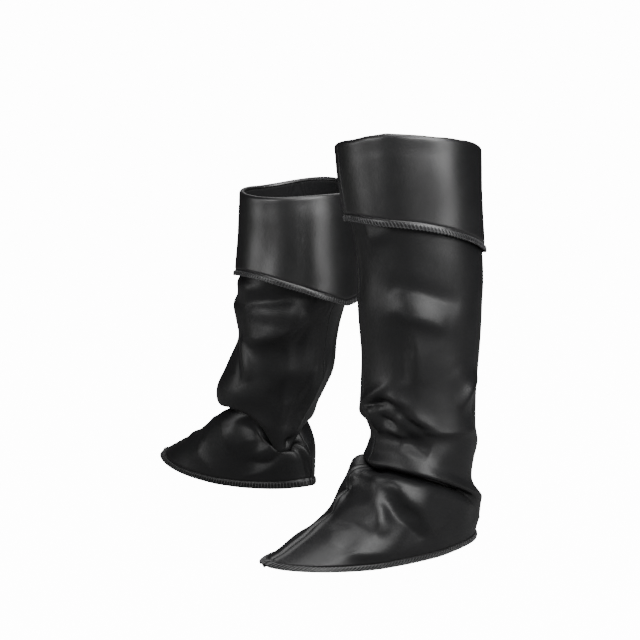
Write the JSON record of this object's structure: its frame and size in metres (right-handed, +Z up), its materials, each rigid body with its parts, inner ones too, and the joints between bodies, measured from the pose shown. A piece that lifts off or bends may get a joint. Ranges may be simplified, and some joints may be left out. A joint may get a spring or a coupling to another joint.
{
  "type": "pair of boot covers",
  "caption": "Black leatherette boot covers, worn: wide hollow leg tubes with deep turned-down cuffs, slouched ankle folds, and pointed spats that open over and under the shoe.",
  "frame": {"origin": "where the wearer's left leg fills the left cover's open top, at the middle of its rim", "axes": "+Z up along the standing wearer's legs, -Y the way the wearer faces, +X towards the wearer's left"},
  "size_m": [0.5318, 0.3364, 0.3917],
  "materials": {
    "shaft_leatherette": "soft-gloss black leatherette with a fine grain",
    "cuff_leatherette": "soft-gloss black leatherette with a fine grain, laid smooth"
  },
  "bodies": {
    "root": {"left_shaft_outer": "shaft_leatherette", "left_shaft_inner": "shaft_leatherette", "left_cuff": "cuff_leatherette", "right_shaft_outer": "shaft_leatherette", "right_shaft_inner": "shaft_leatherette", "right_cuff": "cuff_leatherette"}
  },
  "joints": []
}
